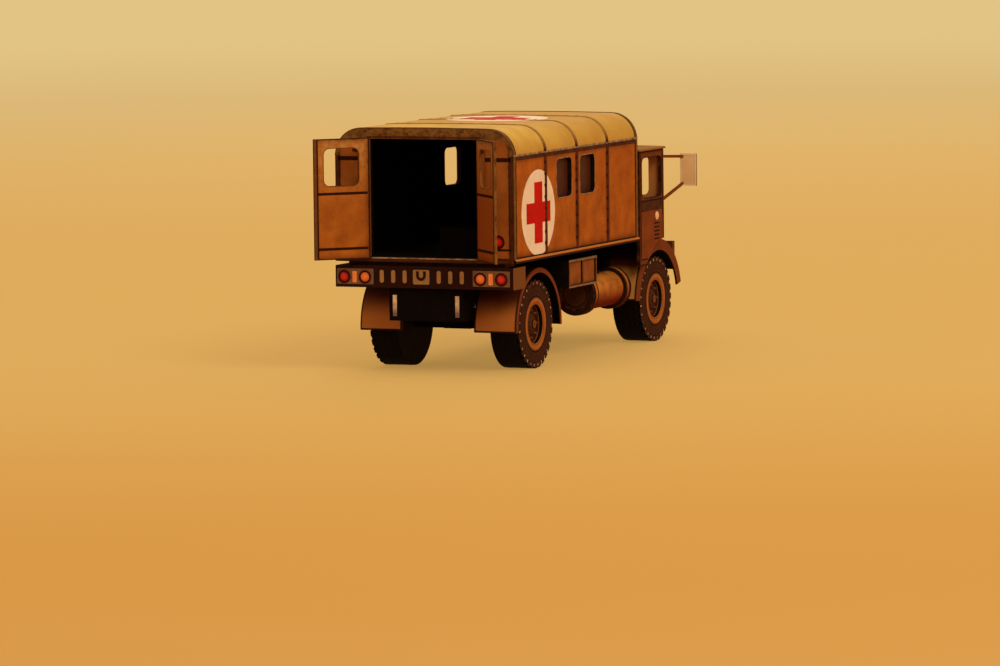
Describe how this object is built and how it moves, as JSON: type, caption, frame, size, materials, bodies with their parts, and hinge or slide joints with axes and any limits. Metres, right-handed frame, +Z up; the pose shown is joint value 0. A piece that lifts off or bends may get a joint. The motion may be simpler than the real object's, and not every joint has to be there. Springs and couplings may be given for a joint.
{
  "type": "card scale model of a military ambulance truck",
  "caption": "Printed card model of a box-bodied military ambulance truck with hinged rear doors, rolling wheels and side lockers.",
  "frame": {"origin": "on the table, under the middle of the model's length and width", "axes": "+X towards the bonnet, +Y to the truck's left, +Z up"},
  "size_m": [0.0924, 0.043, 0.0423],
  "materials": {
    "printed_khaki": "matt card printed in warm khaki brown",
    "printed_roof": "matt card printed in the same khaki, light on the roof",
    "printed_brown": "matt card printed in dark brown",
    "printed_tank": "rolled card printed in warm khaki brown",
    "black_card": "matt black card",
    "tyre_card": "laminated card printed near black",
    "lamp_card": "pale printed lamp face"
  },
  "bodies": {
    "truck": {"load_floor": "black_card", "body_side_left": "printed_khaki", "body_side_right": "printed_khaki", "body_roof": "printed_roof", "rear_wall": "printed_khaki", "front_bulkhead": "black_card", "window_backing_right": "printed_brown", "inner_bench": "black_card", "cross_members": "black_card", "rear_bumper": "black_card", "tail_box": "black_card", "propeller_shaft": "black_card", "cab_floor": "printed_khaki", "cab_back": "printed_khaki", "cab_front": "printed_khaki", "cab_roof": "printed_khaki", "cab_seat": "printed_khaki", "bonnet": "printed_khaki", "radiator_grille": "printed_brown", "headlamps": "lamp_card", "front_bumper": "printed_khaki", "rear_axle": "black_card", "rear_springs": "black_card", "front_axle": "black_card", "front_springs": "black_card", "chassis_rail_left": "black_card", "chassis_rail_right": "black_card", "mudguard_rear_left": "printed_khaki", "mudguard_rear_right": "printed_khaki", "mudguard_front_left": "printed_khaki", "mudguard_front_right": "printed_khaki", "locker_left": "printed_khaki", "locker_right": "printed_khaki", "fuel_tank_left": "printed_tank", "fuel_tank_right": "printed_tank", "tank_straps_left": "printed_khaki", "tank_straps_right": "printed_khaki", "cab_side_left": "printed_khaki", "cab_side_right": "printed_khaki", "mirror_left": "printed_khaki", "mirror_right": "printed_khaki"},
    "wheel_front_left": {"tyre_front_left": "tyre_card", "wheel_disc_front_left": "printed_khaki"},
    "wheel_front_right": {"tyre_front_right": "tyre_card", "wheel_disc_front_right": "printed_khaki"},
    "wheel_rear_left": {"tyre_rear_left": "tyre_card", "wheel_disc_rear_left": "printed_khaki"},
    "wheel_rear_right": {"tyre_rear_right": "tyre_card", "wheel_disc_rear_right": "printed_khaki"},
    "door_left": {"rear_door_left": "printed_khaki"},
    "door_right": {"rear_door_right": "printed_khaki"}
  },
  "joints": [
    {"name": "wheel_front_left_spin", "type": "hinge", "parent": "truck", "child": "wheel_front_left", "pos_m": [0.03332, 0.01135, 0.0077], "axis": [0, 1, 0], "continuous": true},
    {"name": "wheel_front_right_spin", "type": "hinge", "parent": "truck", "child": "wheel_front_right", "pos_m": [0.03332, -0.01135, 0.0077], "axis": [0, 1, 0], "continuous": true},
    {"name": "wheel_rear_left_spin", "type": "hinge", "parent": "truck", "child": "wheel_rear_left", "pos_m": [-0.02268, 0.01135, 0.0077], "axis": [0, 1, 0], "continuous": true},
    {"name": "wheel_rear_right_spin", "type": "hinge", "parent": "truck", "child": "wheel_rear_right", "pos_m": [-0.02268, -0.01135, 0.0077], "axis": [0, 1, 0], "continuous": true},
    {"name": "rear_door_left_swing", "type": "hinge", "parent": "truck", "child": "door_left", "pos_m": [-0.03843, 0.0102, 0.0302], "axis": [0, 0, -1], "range_deg": [-134.5, 35.5]},
    {"name": "rear_door_right_swing", "type": "hinge", "parent": "truck", "child": "door_right", "pos_m": [-0.03843, -0.0102, 0.0302], "axis": [0, 0, 1], "range_deg": [-130.6, 39.4]}
  ]
}
